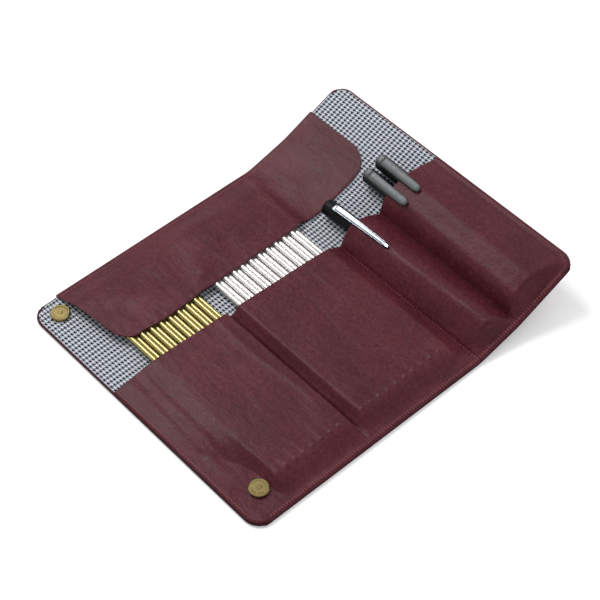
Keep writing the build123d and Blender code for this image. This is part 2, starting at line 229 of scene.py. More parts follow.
class Shades:
    # a material's node tree, with short ways to add and join nodes
    def __init__(self, name):
        self.material = bpy.data.materials.new(name)
        self.material.use_nodes = True
        self.nodes = self.material.node_tree.nodes
        self.links = self.material.node_tree.links
        self.shader = self.nodes["Principled BSDF"]
        self.place = self.nodes.new("ShaderNodeTexCoord")

    def node(self, kind, **settings):
        made = self.nodes.new("ShaderNode" + kind)
        for key, value in settings.items():
            if key in made.inputs:
                made.inputs[key].default_value = value
            else:
                setattr(made, key, value)
        return made

    def math(self, operation, a, b=None):
        made = self.nodes.new("ShaderNodeMath")
        made.operation = operation
        for index, value in enumerate((a, b)):
            if value is None:
                continue
            if isinstance(value, (int, float)):
                made.inputs[index].default_value = value
            else:
                self.links.new(value, made.inputs[index])
        return made.outputs[0]

    def noise(self, scale, detail=3.0, roughness=0.55, coordinates="Object"):
        made = self.node("TexNoise", Scale=scale, Detail=detail, Roughness=roughness)
        self.links.new(self.place.outputs[coordinates], made.inputs["Vector"])
        return made.outputs["Fac"]

    def cells(self, scale, feature="F1", coordinates="Object"):
        made = self.node("TexVoronoi", feature=feature, Scale=scale)
        self.links.new(self.place.outputs[coordinates], made.inputs["Vector"])
        return made.outputs["Distance"]

    def ramp(self, fac, stops):
        made = self.nodes.new("ShaderNodeValToRGB")
        elements = made.color_ramp.elements
        elements[0].position, elements[0].color = stops[0][0], (*stops[0][1], 1)
        elements[1].position, elements[1].color = stops[-1][0], (*stops[-1][1], 1)
        for position, colour in stops[1:-1]:
            elements.new(position).color = (*colour, 1)
        self.links.new(fac, made.inputs["Fac"])
        return made.outputs["Color"]

    def span(self, value, fromLow, fromHigh, toLow, toHigh):
        made = self.nodes.new("ShaderNodeMapRange")
        for key, number in zip(
            ("From Min", "From Max", "To Min", "To Max"), (fromLow, fromHigh, toLow, toHigh)
        ):
            made.inputs[key].default_value = number
        self.links.new(value, made.inputs["Value"])
        return made.outputs[0]

    def bump(self, height, distance, strength=1.0, before=None):
        made = self.node("Bump", Distance=distance, Strength=strength)
        self.links.new(height, made.inputs["Height"])
        if before is not None:
            self.links.new(before, made.inputs["Normal"])
        return made.outputs["Normal"]

    def set(self, **values):
        for key, value in values.items():
            socket = self.shader.inputs[key.replace("_", " ")]
            if isinstance(value, (int, float)):
                socket.default_value = value
            elif isinstance(value, tuple):
                socket.default_value = (*value, 1)
            else:
                self.links.new(value, socket)


def makeLeather(name, dark, mid, light):
    shades = Shades(name)
    cloud = shades.noise(28, 4.0, 0.6)
    fine = shades.noise(420, 3.0, 0.6)
    mixed = shades.math(
        "ADD", shades.math("MULTIPLY", cloud, 0.45), shades.math("MULTIPLY", fine, 0.55)
    )
    colour = shades.ramp(mixed, [(0.36, dark), (0.52, mid), (0.68, light)])
    grain = shades.cells(1500)
    pores = shades.noise(2600, 2.0)
    normal = shades.bump(grain, 0.00005, 0.7)
    normal = shades.bump(pores, 0.00004, 0.6, normal)
    normal = shades.bump(shades.noise(230, 5.0, 0.7), 0.0006, 0.4, normal)
    stretch = shades.node("Mapping")
    stretch.inputs["Scale"].default_value = (1.5, 0.45, 1.0)
    stretch.inputs["Rotation"].default_value = (0.0, 0.0, 0.35)
    shades.links.new(shades.place.outputs["Object"], stretch.inputs["Vector"])
    creases = shades.node("TexNoise", Scale=75.0, Detail=6.0, Roughness=0.62, Distortion=0.6)
    shades.links.new(stretch.outputs[0], creases.inputs["Vector"])
    normal = shades.bump(creases.outputs["Fac"], 0.0016, 0.4, normal)
    rough = shades.span(fine, 0.3, 0.7, 0.28, 0.42)
    shades.set(Base_Color=colour, Roughness=rough, Normal=normal)
    shades.shader.inputs["Specular IOR Level"].default_value = 0.13
    return shades.material


def makeHoundstooth(name, repeatAlong, repeatAcross, dark, light):
    # a two-over-two twill of eight threads, four dark and four light, both ways
    threads = 8
    shades = Shades(name)
    uvMap = shades.node("UVMap", uv_map="clothPlace")
    split = shades.nodes.new("ShaderNodeSeparateXYZ")
    shades.links.new(uvMap.outputs["UV"], split.inputs[0])
    across = shades.math("MULTIPLY", split.outputs["X"], threads / repeatAlong)
    along = shades.math("MULTIPLY", split.outputs["Y"], threads / repeatAcross)
    i, j = shades.math("FLOOR", across), shades.math("FLOOR", along)
    warp = shades.math("GREATER_THAN", shades.math("FLOORED_MODULO", i, threads), 3.5)
    weft = shades.math("GREATER_THAN", shades.math("FLOORED_MODULO", j, threads), 3.5)
    over = shades.math("GREATER_THAN", shades.math("FLOORED_MODULO", shades.math("ADD", i, j), 4.0), 1.5)
    warpShown = shades.math("MULTIPLY", warp, over)
    weftShown = shades.math("MULTIPLY", weft, shades.math("SUBTRACT", 1.0, over))
    fac = shades.math("ADD", warpShown, weftShown)
    worn = shades.math(
        "ADD", shades.math("MULTIPLY", fac, 0.9), shades.math("MULTIPLY", shades.noise(90), 0.1)
    )
    colour = shades.ramp(worn, [(0.08, dark), (0.92, light)])
    roundA = shades.math("SINE", shades.math("MULTIPLY", across, math.pi))
    roundB = shades.math("SINE", shades.math("MULTIPLY", along, math.pi))
    relief = shades.math(
        "ADD",
        shades.math("MULTIPLY", shades.math("ABSOLUTE", roundA), over),
        shades.math("MULTIPLY", shades.math("ABSOLUTE", roundB), shades.math("SUBTRACT", 1.0, over)),
    )
    shades.set(Base_Color=colour, Roughness=0.85, Normal=shades.bump(relief, 0.00003, 0.25))
    shades.shader.inputs["Specular IOR Level"].default_value = 0.2
    return shades.material


def makeMetal(name, colour, roughness, streak=0.0, metallic=1.0):
    shades = Shades(name)
    rough = shades.span(shades.noise(900, 2.0), 0.3, 0.7, roughness * 0.85, roughness * 1.15)
    tone = shades.ramp(
        shades.noise(120), [(0.3, tuple(c * (1 - streak) for c in colour)), (0.7, colour)]
    )
    shades.set(Base_Color=tone, Metallic=metallic, Roughness=rough)
    return shades.material


def makePlastic(name, colour, roughness, pebble=0.0, pebbleScale=1400, gloss=0.5):
    shades = Shades(name)
    rough = shades.span(shades.noise(300), 0.3, 0.7, roughness * 0.85, roughness * 1.15)
    normal = shades.bump(shades.cells(pebbleScale), 0.0001, pebble)
    tone = shades.ramp(shades.noise(200), [(0.3, tuple(c * 0.85 for c in colour)), (0.7, colour)])
    shades.set(Base_Color=tone, Roughness=rough, Normal=normal)
    shades.shader.inputs["Specular IOR Level"].default_value = gloss
    return shades.material


finishes = {
    "leather": makeLeather(
        "burgundyLeather", (0.054, 0.009, 0.015), (0.082, 0.0145, 0.0225), (0.116, 0.024, 0.034)
    ),
    # near-black leather for the cover's side faces: painted shade along the case's outer edges
    "edgeShadeLeather": makeLeather(
        "paintedShadeSides", (0.016, 0.006, 0.011), (0.022, 0.008, 0.014), (0.032, 0.011, 0.018)
    ),
    "thread": makePlastic("burgundyThread", (0.30, 0.075, 0.095), 0.6, 0.4, 2500),
    # near-black stitches for the seams at folds A and C: painted shade of the stitch holes
    "stitchHoleShade": makePlastic("stitchHoleShade", (0.022, 0.007, 0.010), 0.6, 0.4, 2500),
    "hound": makeHoundstooth(
        "houndstoothCloth", 0.00250, 0.00370, (0.006, 0.008, 0.020), (0.62, 0.65, 0.70)
    ),
    "gold": makeMetal("polishedGold", (0.32, 0.265, 0.10), 0.2, 0.06, 0.65),
    "silver": makeMetal("brightNickel", (0.62, 0.60, 0.58), 0.18, 0.02, 0.6),
    "brass": makeMetal("antiqueBrass", (0.26, 0.20, 0.078), 0.18, 0.2, 0.85),
    "chrome": makeMetal("polishedChrome", (0.20, 0.22, 0.25), 0.2, 0.10),
    "steel": makeMetal("nibSteel", (0.6, 0.6, 0.62), 0.25, 0.1),
    "capBlack": makePlastic("capBlack", (0.004, 0.004, 0.005), 0.40, 0.35, 1900, 0.10),
    "penBlack": makePlastic("penBlack", (0.007, 0.009, 0.009), 0.28, 0.05, 1400, 0.3),
    "clipGrey": makePlastic("clipGrey", (0.050, 0.062, 0.062), 0.34, 0.2, 2600, 0.4),
}
print("materials")

# ---- shared makers


def asObject(form, name, finish):
    mesh = bpy.data.meshes.new(name)
    form.to_mesh(mesh)
    form.free()
    mesh.materials.append(finishes[finish])
    for face in mesh.polygons:
        face.use_smooth = True
    mesh.set_sharp_from_angle(angle=math.radians(50))
    piece = bpy.data.objects.new(name, mesh)
    bpy.context.collection.objects.link(piece)
    return piece


def cornerInset(y, radius, half):
    # how far a rounded corner draws the end in at y
    over = abs(y) - (half - radius)
    if over <= 0:
        return 0.0
    return radius - math.sqrt(max(radius * radius - over * over, 0.0))


def thicken(form, thickness):
    # gives a laid grid its thickness, away from its upper face
    form.normal_update()
    if sum(face.normal.z for face in form.faces) < 0:
        bmesh.ops.reverse_faces(form, faces=form.faces[:])
        form.normal_update()
    bmesh.ops.solidify(form, geom=form.faces[:], thickness=thickness)
    bmesh.ops.recalc_face_normals(form, faces=form.faces[:])


def gridPiece(name, finish, spanAt, rows, columns, top, thickness):
    # a leather or cloth panel: a grid laid on the case, with its own thickness below it
    # spanAt(v) gives the panel's two ends and its y at share v, and top(d, y) the height of its upper face
    form = bmesh.new()
    bmesh.ops.create_grid(form, x_segments=columns, y_segments=rows, size=0.5)
    uvLayer = form.loops.layers.uv.new("clothPlace")
    flatPlace = {}
    for vert in form.verts:
        low, high, y = spanAt(vert.co.y + 0.5)
        d = lerp(low, high, vert.co.x + 0.5)
        flatPlace[vert] = (d, y)
    for face in form.faces:
        for loop in face.loops:
            loop[uvLayer].uv = flatPlace[loop.vert]
    for vert, (d, y) in flatPlace.items():
        vert.co = onCase(d, y, top(d, y))
    thicken(form, thickness)
    return asObject(form, name, finish)


def bendAt(piece):
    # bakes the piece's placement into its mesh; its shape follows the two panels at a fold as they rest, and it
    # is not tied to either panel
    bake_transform(piece)


# Each layer is three pieces, parted at the middle of a panel, so that each crosses one fold
seamOne = middleWidth / 2
seamTwo = middleWidth + spineWidth / 2
layerSpans = {
    "snapSide": (snapEnd, seamOne, "A"),
    "midSide": (seamOne, seamTwo, "B"),
    "penSide": (seamTwo, penEnd, "C"),
}


def endsAt(span, inset, y, half):
    # the two ends of a layer's piece at y, with the case's corners rounded
    low, high = span[0], span[1]
    radius = caseForm["cornerRadius"] - inset
    if low == snapEnd:
        low = snapEnd + inset + cornerInset(y, radius, half)
    if high == penEnd:
        high = penEnd - inset - cornerInset(y, radius, half)
    return low, high


# ---- outer leather

coverForm = {
    "thickness": 0.0018,
    "rimWidth": 0.0011,
    "step": 0.0018,
    "sheet": 0.0012,
}
underLining = -(caseForm["liningTop"] - coverForm["thickness"])


def coverTop(d, y):
    # level under the lining, and turned up in a low rim round the free edges
    half = caseForm["halfLength"]
    inEnd = min(
        d - snapEnd - cornerInset(y, caseForm["cornerRadius"], half),
        penEnd - cornerInset(y, caseForm["cornerRadius"], half) - d,
        half - abs(y),
    )
    rim = 1 - smooth(coverForm["rimWidth"] * 0.8, coverForm["rimWidth"], inEnd)
    ease = 1 - smooth(0.0, 0.0005, inEnd)
    return underLining + rim * (-underLining - 0.00015) - ease * 0.0004


def makeCover(side):
    span = layerSpans[side]
    half = caseForm["halfLength"]
    edge = coverForm["rimWidth"]

    def spanAt(v):
        y = edgeFirst(v, -half, half, edge)
        low, high = endsAt(span, 0.0, y, half)
        return low, high, y

    rows = int(2 * half / coverForm["step"])
    columns = int((span[1] - span[0]) / coverForm["step"])
    piece = gridPiece(f"outerLeather_{side}", "leather", spanAt, rows, columns, coverTop, coverForm["sheet"])
    # the cover's side faces take the near-black leather, painted shade along the edge
    piece.data.materials.append(finishes["edgeShadeLeather"])
    for face in piece.data.polygons:
        if abs(face.normal.z) < 0.6:
            face.material_index = 1
    return piece


def edgeFirst(v, low, high, edge):
    # the first and last share of the rows lie in the rim
    part = 0.04
    if v < part:
        return lerp(low, low + edge, v / part)
    if v > 1 - part:
        return lerp(high - edge, high, (v - 1 + part) / part)
    return lerp(low + edge, high - edge, (v - part) / (1 - 2 * part))


layerPanels = {"snapSide": ("left",), "midSide": ("middle", "spine"), "penSide": ("right",)}
for side, panels in layerPanels.items():
    cover = makeCover(side)
    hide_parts(*(f"cover_{panel}" for panel in panels))
    bendAt(cover)
print("outer leather")

# ---- lining

liningForm = {"thickness": 0.0011, "inset": 0.0010, "step": 0.003, "rows": 90}


def liningTopAt(d, y):
    wave = noise.noise(Vector((d * 22, y * 22, 3.1))) * 0.00012
    return wave - 0.00002


def makeLining(side):
    span = layerSpans[side]
    half = caseForm["halfLength"] - liningForm["inset"]

    def spanAt(v):
        y = edgeFirst(v, -half, half, caseForm["cornerRadius"])
        low, high = endsAt(span, liningForm["inset"], y, half)
        return low, high, y

    columns = int((span[1] - span[0]) / liningForm["step"])
    return gridPiece(
        f"lining_{side}", "hound", spanAt, liningForm["rows"], columns, liningTopAt, liningForm["thickness"]
    )


for side, panels in layerPanels.items():
    lining = makeLining(side)
    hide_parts(*(f"lining_{panel}" for panel in panels))
    bendAt(lining)
print("lining")

# ---- pockets

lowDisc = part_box("snap_disc_lower")
discPlace = (lowDisc[0].x + lowDisc[1].x) / 2 - caseForm["foldA"]
needles = {
    "gold": {
        "count": 8, "pitch": 0.00373, "diameter": 0.0037, "centre": -0.0336,
        "reachLow": 0.0285, "reachHigh": 0.0024,
        "disc": discPlace,
    },
    "silver": {
        "count": 10, "pitch": 0.0038, "diameter": 0.0038, "centre": 0.0465,
        "reachLow": 0.0066, "reachHigh": 0.0108,
        "disc": None,
    },
}


def penLine(cap, slide, tilt, corner, cornerD):
    # a pen's place in its pocket: the distance of its axis along the case at y, and its height
    low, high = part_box(cap)
    middle = (low + high) / 2
    along = Vector((math.cos(tilt), 0, math.sin(tilt)))
    up = Vector((-math.sin(tilt), 0, math.cos(tilt)))
    axis = Vector(joints[slide]["axis"])
    away = middle - corner
    return {
        "d": cornerD + away.dot(along),
        "y": middle.y,
        "lean": axis.dot(along) / axis.y,
        "height": away.dot(up),
        "middle": middle,
        "axis": axis.normalized(),
        "up": up,
    }


cornerB = Vector((caseForm["foldB"], 0, caseForm["liningTop"]))
cornerC = Vector(crease)
penLines = {
    "pen": penLine("pen_cap", "pen_slide", tiltSpine, cornerB, middleWidth),
    "marker_1": penLine("marker_1_cap", "marker_1_slide", tiltRight, cornerC, foldC),
    "marker_2": penLine("marker_2_cap", "marker_2_slide", tiltRight, cornerC, foldC),
}
pens = {
    "chrome": {
        "lines": (penLines["pen"],),
        "radius": 0.00715,
        "seams": (middleWidth, foldC),
        "base": 0.0112,
    },
    "black": {
        "lines": (penLines["marker_1"], penLines["marker_2"]),
        "radius": 0.0069,
        "seams": (foldC, penEnd - 0.0045),
        "base": 0.0112,
    },
}
pocketForm = {
    "leather": 0.0010,
    "humpTop": 0.0071,
    "needleBase": 0.0205,
    # the mouth: distance along the case, and height above the bottom edge
    "mouth": (
        (-0.097, 0.1410), (-0.0485, 0.1395), (0.0485, 0.1365), (0.1152, 0.1335), (0.161, 0.1315), (0.19, 0.1302),
    ),
    "step": 0.0009,
    "bump": 0.0008,
    "ripple": 0.00013,
    "lap": 0.0002,
    # soft lengthwise swells: place at the bottom, slant, half width and height
    "swells": (
        (-0.086, 0.05, 0.0035, 0.0007),
        (-0.075, 0.03, 0.0030, 0.0006),
        (-0.008, -0.02, 0.0028, 0.0005),
        (0.088, 0.03, 0.0030, 0.0006),
        (0.104, 0.04, 0.0030, 0.0004),
    ),
}


def mouthAt(d):
    points = pocketForm["mouth"]
    for (d0, m0), (d1, m1) in zip(points, points[1:]):
        if d <= d1:
            return bottomY + lerp(m0, m1, max(d - d0, 0) / (d1 - d0))
    return bottomY + points[-1][1]


def upperTips(row):
    first = row["centre"] - (2 * row["count"] - 1) * row["pitch"] / 2
    return [first + 2 * row["pitch"] * index for index in range(row["count"])]


def sideFall(out, reach):
    # the leather's height beside a row, from 1 at the row's edge to 0 at the seam it is drawn to
    share = out / reach
    fall = 0.5 * (share + math.sqrt(share * share + 0.012))
    return max(1 - fall, 0.0) - 0.10 * math.sin(math.pi * min(max(fall, 0.0), 1.0))


def needleHump(d, fromBottom, row):
    half = (2 * row["count"] - 1) * row["pitch"] / 2 + row["diameter"] / 2 + 0.0013
    low, high = row["centre"] - half, row["centre"] + half
    reachLow = row["reachLow"]
    if row["disc"] is not None:
        # the leather falls steeply beside the lower disc, and more gently further up
        beside = low - row["disc"] - 0.0063
        reachLow = lerp(beside, reachLow, smooth(0.030, 0.085, fromBottom))
    if not low - reachLow < d < high + row["reachHigh"]:
        return 0.0
    across = max(sideFall(low - d, reachLow) + sideFall(d - high, row["reachHigh"]) - 1, 0.0)
    base = pocketForm["needleBase"]
    pull = 0.0010 * noise.noise(Vector((d * 160, 0.3, 2.2)))
    along = smooth(0.0050 + pull, base + 0.0006 + 0.3 * pull, fromBottom)
    first = upperTips(row)[0]
    phase = math.cos(2 * math.pi * (d - first) / (2 * row["pitch"]))
    inRow = smooth(low, low + 0.003, d) * (1 - smooth(high - 0.003, high, d))
    fade = math.exp(-max(fromBottom - base, 0) / 0.009) * smooth(base - 0.013, base, fromBottom)
    nearMouth = math.exp(-max(mouthAt(d) - bottomY - fromBottom, 0) / 0.008) * 0.8
    ripple = pocketForm["ripple"] * phase * (fade + nearMouth)
    spot = math.exp(-(((fromBottom - base - 0.0006) / 0.0011) ** 2)) * max(phase, 0) ** 3
    return across * (pocketForm["humpTop"] - 0.0010) * along + inRow * (ripple + pocketForm["bump"] * spot)


def stretched(out, reach, radius, axis):
    # leather drawn straight from a seam, reach away, to the round of a pen
    slope = math.atan2(axis, reach) + math.asin(radius / math.hypot(axis, reach))
    touch = radius * math.sin(slope)
    if out <= touch:
        return axis + math.sqrt(radius * radius - out * out)
    share = min((reach - out) / (reach - touch), 1.0)
    sag = -0.0007 * math.sin(math.pi * max(share, 0.0))
    return max((reach - out) * math.tan(slope), 0.0) - sag


def penHump(d, fromBottom, pen):
    # the leather is too thick to follow a pen closely, so its height is evened out a little
    shifts = (-0.004, -0.002, 0.0, 0.002, 0.004)
    low, high = pen["seams"]
    ease = min(max(min(d - low, high - d) / 0.006, 0.0), 1.0)
    return sum(penHeight(d + shift * ease, fromBottom, pen) for shift in shifts) / len(shifts)


def penHeight(d, fromBottom, pen):
    lines, radius = pen["lines"], pen["radius"]
    centres = [line["d"] + (fromBottom + bottomY - line["y"]) * line["lean"] for line in lines]
    axis = lines[0]["height"] - 0.0010
    low, high = pen["seams"]
    if not low < d < high:
        return 0.0
    first, last = centres[0], centres[-1]
    if d < first:
        height = stretched(first - d, first - low - 0.0004, radius, axis)
    elif d > last:
        height = stretched(d - last, high - last, radius, axis)
    else:
        height = axis + radius - 0.0008 * math.sin(math.pi * (d - first) / max(last - first, 1e-6)) ** 2
    pull = 0.0012 * noise.noise(Vector((d * 120, 5.3, 8.2)))
    along = smooth(0.0030 + pull, pen["base"] + 0.0010, fromBottom)
    return max(height, 0.0) * along


def pocketTop(d, y):
    fromBottom = y - bottomY
    height = needleHump(d, fromBottom, needles["gold"]) + needleHump(d, fromBottom, needles["silver"])
    height += penHump(d, fromBottom, pens["chrome"]) + penHump(d, fromBottom, pens["black"])
    streak = noise.noise(Vector((d * 150, y * 14, 7.7))) * 0.00009
    crumple = noise.noise(Vector((d * 60 + y * 45, y * 95 - d * 30, 1.7))) * 0.00040
    low = 1 - smooth(0.016, 0.050, fromBottom)
    cloud = noise.noise(Vector((d * 45, y * 38, 4.4))) * 0.00030
    lift = pocketForm["leather"] + height
    for place, slant, half, tall in pocketForm["swells"]:
        sway = 0.003 * noise.noise(Vector((place * 90, y * 22, 6.6)))
        off = (d - place - slant * fromBottom - sway) / half
        lift += tall * math.exp(-off * off) * smooth(0.030, 0.065, fromBottom)
    raised = smooth(0.0, 0.003, height)
    groove = 0.0
    for fold in (0.0, middleWidth, foldC):
        groove += math.exp(-(((d - fold) / 0.0009) ** 2)) * 0.00045
        groove -= math.exp(-(((d - fold - 0.0019) / 0.0009) ** 2)) * 0.00030
    wrinkled = streak * raised + cloud + crumple * (low * 0.8 + 0.12) * smooth(0.002, 0.006, fromBottom)
    return max(lift + wrinkled - groove, 0.0004)


def makePocket(side):
    # the leather laps over the rim of the case, and its mouth is left open
    span = layerSpans[side]
    inset = pocketForm["lap"]
    half = caseForm["halfLength"] - inset
    depth = pocketForm["mouth"][0][1]
    columns = int((span[1] - span[0]) / pocketForm["step"])
    rows = int(depth / pocketForm["step"])
    form = bmesh.new()
    bmesh.ops.create_grid(form, x_segments=columns, y_segments=rows, size=0.5)
    for vert in form.verts:
        u, v = vert.co.x + 0.5, vert.co.y + 0.5
        guess = lerp(span[0], span[1], u)
        y = lerp(-half, mouthAt(guess), v * v * (3 - 2 * v) * 0.12 + v * 0.88)
        low, high = endsAt(span, inset, y, half)
        d = lerp(low, high, u)
        inEnd = y + half
        if span[0] == snapEnd:
            inEnd = min(inEnd, d - low)
        if span[1] == penEnd:
            inEnd = min(inEnd, high - d)
        turn = 1 - smooth(0, 0.0016, max(inEnd, 0))
        lip = 1 - smooth(0, 0.0006, max(mouthAt(d) - y, 0))
        vert.co = onCase(d, y, pocketTop(d, y) - turn * 0.0009 - lip * 0.0002)
    thicken(form, pocketForm["leather"] * 0.85)
    return asObject(form, f"pocket_{side}", "leather")


for side, panels in layerPanels.items():
    pocket = makePocket(side)
    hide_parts(*(f"pocket_{panel}" for panel in panels))
    bendAt(pocket)
print("pockets")

# ---- flap

flapForm = {
    "leather": 0.0010,
    "hingeY": joints["flap_middle_lift"]["pos_m"][1],
    "overNeedles": 0.00582,
    "overLining": 0.0003,
    "rootOver": 0.0008,  # how far the flap reaches past its hinge
    "depth": 0.066,
    "sideRoot": -0.0752,
    "sideFree": -0.0675,
    "cornerSnap": 0.016,
    "cornerPen": 0.0195,
    "slope": 0.0244,
    "penWidth": 0.0272,
    "bendReach": 0.018,
    "edgeDip": 0.00035,  # how far the free edge sinks between the upper needles
    # each swelling: its place along the case and above the free edge, its two half sizes and its height
    "swellings": (
        (0.010, 0.014, 0.006, 0.008, 0.0011),
        (0.002, 0.009, 0.005, 0.005, 0.0008),
        (-0.030, 0.022, 0.012, 0.006, 0.0009),
        (-0.045, 0.034, 0.010, 0.005, 0.0007),
        (0.030, 0.030, 0.016, 0.007, 0.0007),
        (0.060, 0.024, 0.014, 0.008, 0.0006),
        (0.074, 0.012, 0.006, 0.006, 0.0006),
        (0.112, 0.030, 0.010, 0.007, 0.0006),
        (0.128, 0.016, 0.008, 0.006, 0.0005),
    ),
    "step": 0.0011,
    # the free edge: distance along the case, and height above the bottom edge
    "edge": (
        (-0.080, 0.1655), (-0.060, 0.1640), (-0.045, 0.1622), (-0.020, 0.1628), (0.0, 0.1638), (0.084, 0.1642),
        (0.0885, 0.1662), (0.0935, 0.1672), (0.100, 0.1658), (0.110, 0.1652), (0.130, 0.1662), (0.165, 0.1662),
    ),
}
# each share of the flap lifts with its own panel, so the flap is parted at the folds
flapShares = {
    "left": (flapForm["sideRoot"], 0.0),
    "middle": (0.0, middleWidth),
    "spine": (middleWidth, foldC),
    "right": (foldC, foldC + flapForm["penWidth"]),
}


def flapEdgeAt(d):
    points = flapForm["edge"]
    for (d0, y0), (d1, y1) in zip(points, points[1:]):
        if d <= d1:
            return bottomY + lerp(y0, y1, smooth(0, 1, (d - d0) / (d1 - d0)))
    return bottomY + points[-1][1]


def flapTop(d, y):
    form = flapForm
    down = form["hingeY"] - y
    low = form["overLining"] + form["leather"]
    over = 1 - smooth(0.0850, 0.0965, d)
    rise = smooth(-0.004, form["slope"], down)
    height = lerp(low, form["overNeedles"] + form["leather"], rise * over)
    loose = smooth(0.004, 0.020, down) * lerp(1.0, smooth(0.0, 0.014, y - flapEdgeAt(d)), over * 0.95)
    valley = math.exp(-((d / 0.006) ** 2)) * 0.0005
    swell = noise.noise(Vector((d * 24, y * 26, 9.4))) * 0.0011 * over
    swell += noise.noise(Vector((d * 30, y * 22, 2.4))) * 0.0003
    cloud = noise.noise(Vector((d * 75, y * 75, 6.1))) * 0.00022
    curl = 1 - smooth(0, 0.0009, y - flapEdgeAt(d))
    lift = max(swell, -0.0002 - 0.0006 * (1 - over)) + cloud - valley * 0.6
    up = y - flapEdgeAt(d)
    for place, above, halfD, halfY, tall in form["swellings"]:
        lift += tall * math.exp(-(((d - place) / halfD) ** 2) - ((up - above) / halfY) ** 2)
    if over < 1:
        lift = max(lift, -0.0001)
    bend = 0.0
    for fold, turn in ((middleWidth, tiltSpine), (foldC, tiltRight - tiltSpine)):
        share = max(1 - math.hypot(d - fold, 0.003) / form["bendReach"], 0.0)
        bend += form["bendReach"] * math.tan(turn) / 4 * share * share
    dip = 0.0
    for row in needles.values():
        half = row["count"] * row["pitch"]
        if abs(d - row["centre"]) < half:
            wave = 0.5 - 0.5 * math.cos(math.pi * (d - upperTips(row)[0]) / row["pitch"])
            nearEdge = 1 - smooth(0.001, 0.007, up)
            inRow = 1 - smooth(half - 0.004, half, abs(d - row["centre"]))
            dip += form["edgeDip"] * wave * nearEdge * inRow
    return height + lift * loose + bend * smooth(-0.002, 0.012, down) - curl * 0.0003 - dip


def makeFlap(share, ends):
    form = flapForm
    rootY = form["hingeY"] + form["rootOver"]
    columns = int((ends[1] - ends[0]) / form["step"])
    rows = int(form["depth"] / form["step"])
    grid = bmesh.new()
    bmesh.ops.create_grid(grid, x_segments=columns, y_segments=rows, size=0.5)
    for vert in grid.verts:
        u, v = vert.co.x + 0.5, vert.co.y + 0.5
        low, high = ends[0], ends[1]
        if share == "left":
            low = lerp(form["sideFree"], form["sideRoot"], v)
        y = lerp(flapEdgeAt(lerp(low, high, u)), rootY, v)
        free = flapEdgeAt(0.0 if share == "left" else high)
        if share == "left":
            low += cornerAt(y - free + 0.002, form["cornerSnap"])
        if share == "right":
            high -= cornerAt(y - free, form["cornerPen"])
        d = lerp(low, high, u)
        vert.co = onCase(d, y, flapTop(d, y))
    thicken(grid, form["leather"] * 0.95)
    return asObject(grid, f"flapLeather_{share}", "leather")


def cornerAt(rise, radius):
    if rise >= radius:
        return 0.0
    rise = max(rise, 0.0)
    return radius - math.sqrt(max(radius * radius - (radius - rise) ** 2, 0.0))


for share, ends in flapShares.items():
    flap = makeFlap(share, ends)
    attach(flap, f"flap_{share}_body")
    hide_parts(f"flap_{share}")
print("flap")

# ---- stitching

stitchForm = {
    "size": (0.0015, 0.00055, 0.00042),
    "clothSize": (0.0011, 0.00036, 0.00028),
    "seamSize": (0.0015, 0.0007, 0.0004),
    "pitch": 0.0022,
    "widePitch": 0.0026,
    "slant": 0.45,
    # how far each row lies from the edge of the case
    "hem": 0.0019,
    "hemGap": 0.0012,
    "side": 0.0021,
    "clothSide": 0.0014,
    "clothTop": 0.0014,
    "flapTop": 0.0032,
}


def placed(x, y, z, place):
    # the matrix with these three axes, at a place
    return Matrix(((*x, 0), (*y, 0), (*z, 0), (*place, 1))).transposed()


def addStitch(form, d, y, h, along, slant, size):
    # one short thread, lying on the leather; along is "d" or "y"
    angle = tiltAt(d) if d > 0 else 0.0
    across = Vector((math.cos(angle), 0, math.sin(angle)))
    up = Vector((-math.sin(angle), 0, math.cos(angle)))
    side = Vector((0, 1, 0))
    run = across if along == "d" else side
    other = side if along == "d" else -across
    cosine, sine = math.cos(slant), math.sin(slant)
    run, other = run * cosine + other * sine, other * cosine - run * sine
    matrix = placed(run * size[0], other * size[1], up * size[2], onCase(d, y, h))
    bmesh.ops.create_icosphere(form, subdivisions=1, radius=0.5, matrix=matrix)


def stitchRow(form, span, start, end, along, fixed, heightAt, pitch, slant, size):
    # a row from start to end, along "d" at a fixed y or along "y" at a fixed d
    count = int((end - start) / pitch)
    for index in range(count):
        place = start + (index + 0.5) * pitch
        d, y = (place, fixed) if along == "d" else (fixed, place)
        if not span[0] <= d < span[1]:
            continue
        wander = 0.00008 * noise.noise(Vector((place * 900, fixed * 100, 5.5)))
        addStitch(form, d, y + wander if along == "d" else y, heightAt(d, y), along, slant, size)


def caseStitches(side):
    span = layerSpans[side]
    form = bmesh.new()
    size, small = stitchForm["size"], stitchForm["clothSize"]
    onLeather = lambda d, y: pocketTop(d, y) + 0.00002
    onCloth = lambda d, y: 0.00005
    pitch, wide, slant = stitchForm["pitch"], stitchForm["widePitch"], stitchForm["slant"]
    lowY = bottomY + stitchForm["hem"]
    firstD = snapEnd + caseForm["cornerRadius"]
    lastD = penEnd - caseForm["cornerRadius"]
    stitchRow(form, span, firstD, lastD, "d", lowY, onLeather, pitch, slant, size)
    stitchRow(form, span, firstD, lastD, "d", lowY + stitchForm["hemGap"], onLeather, pitch, -slant, size)
    for endD, sign in ((snapEnd, 1), (penEnd, -1)):
        fixed = endD + sign * stitchForm["side"]
        if not span[0] <= fixed <= span[1]:
            continue
        lowStart = bottomY + caseForm["cornerRadius"]
        stitchRow(form, span, lowStart, mouthAt(fixed), "y", fixed, onLeather, pitch, slant * sign, size)
        highEnd, onRim = topY - caseForm["cornerRadius"], endD + sign * stitchForm["clothSide"]
        stitchRow(form, span, mouthAt(fixed) + 0.002, highEnd, "y", onRim, onCloth, wide, slant * sign, small)
    clothY = topY - stitchForm["clothTop"]
    if side == "snapSide":
        stitchRow(form, span, firstD, -0.077, "d", clothY, onCloth, wide, slant, small)
    if side == "penSide":
        stitchRow(form, span, foldC + 0.030, lastD, "d", clothY, onCloth, wide, slant, small)
    return asObject(form, f"stitches_{side}", "thread")


